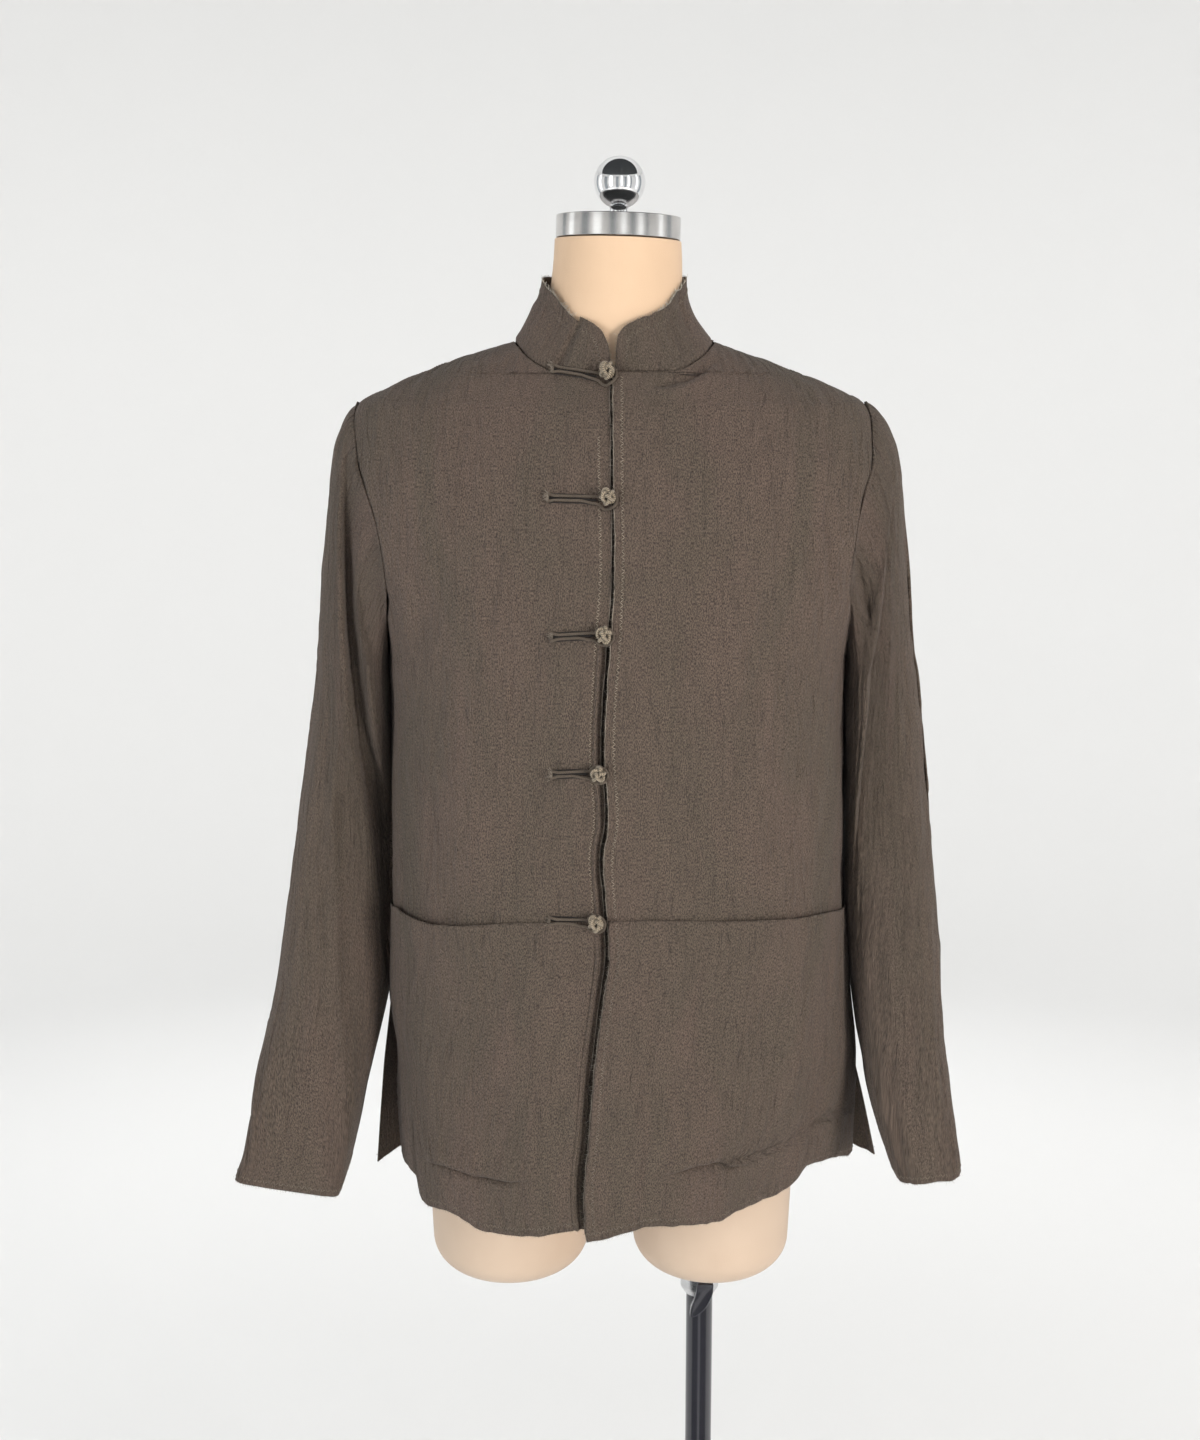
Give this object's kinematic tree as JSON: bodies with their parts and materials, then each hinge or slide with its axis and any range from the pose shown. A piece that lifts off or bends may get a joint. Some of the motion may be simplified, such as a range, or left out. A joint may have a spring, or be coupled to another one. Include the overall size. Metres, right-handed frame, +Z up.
{
  "type": "tang jacket on dress form",
  "caption": "Long-sleeved stand-collar cotton jacket fastened with knot buttons and cord loops, worn by a cloth-covered limbless dress form with a capped neck on a pole and round base.",
  "frame": {"origin": "on the floor at the middle of the base plate's underside, below the middle of the dress form", "axes": "+Z up; the jacket's front faces -Y; +X is to the right of someone who faces it, which is the wearer's left"},
  "size_m": [0.613, 0.36, 1.6852],
  "materials": {
    "cloth": "washed, slightly crinkled matte olive-brown cotton",
    "cord": "matte tan cotton cord",
    "form_cloth": "stretched cream woven cotton cover",
    "cap_steel": "circular brushed",
    "chrome": "mirror polished",
    "black_paint": "semi-gloss black enamel"
  },
  "bodies": {
    "form_and_stand": {"front_left": "cloth", "front_right": "cloth", "back": "cloth", "sleeve_left": "cloth", "sleeve_right": "cloth", "collar": "cloth", "pocket_left": "cloth", "pocket_right": "cloth", "knot_1": "cord", "knot_2": "cord", "knot_3": "cord", "knot_4": "cord", "knot_5": "cord", "loop_1": "cloth", "loop_2": "cloth", "loop_3": "cloth", "loop_4": "cloth", "loop_5": "cloth", "form_body": "form_cloth", "neck_cap": "cap_steel", "finial": "chrome", "leg_socket": "cap_steel", "pole": "black_paint", "base": "black_paint"},
    "clamp_lever": {"clamp_lever": "black_paint"}
  },
  "joints": [
    {"name": "clamp_lever_turn", "type": "hinge", "parent": "form_and_stand", "child": "clamp_lever", "pos_m": [0.0805, -0.022, 0.7085], "axis": [0, -1, 0], "range_deg": [0, 80]}
  ]
}
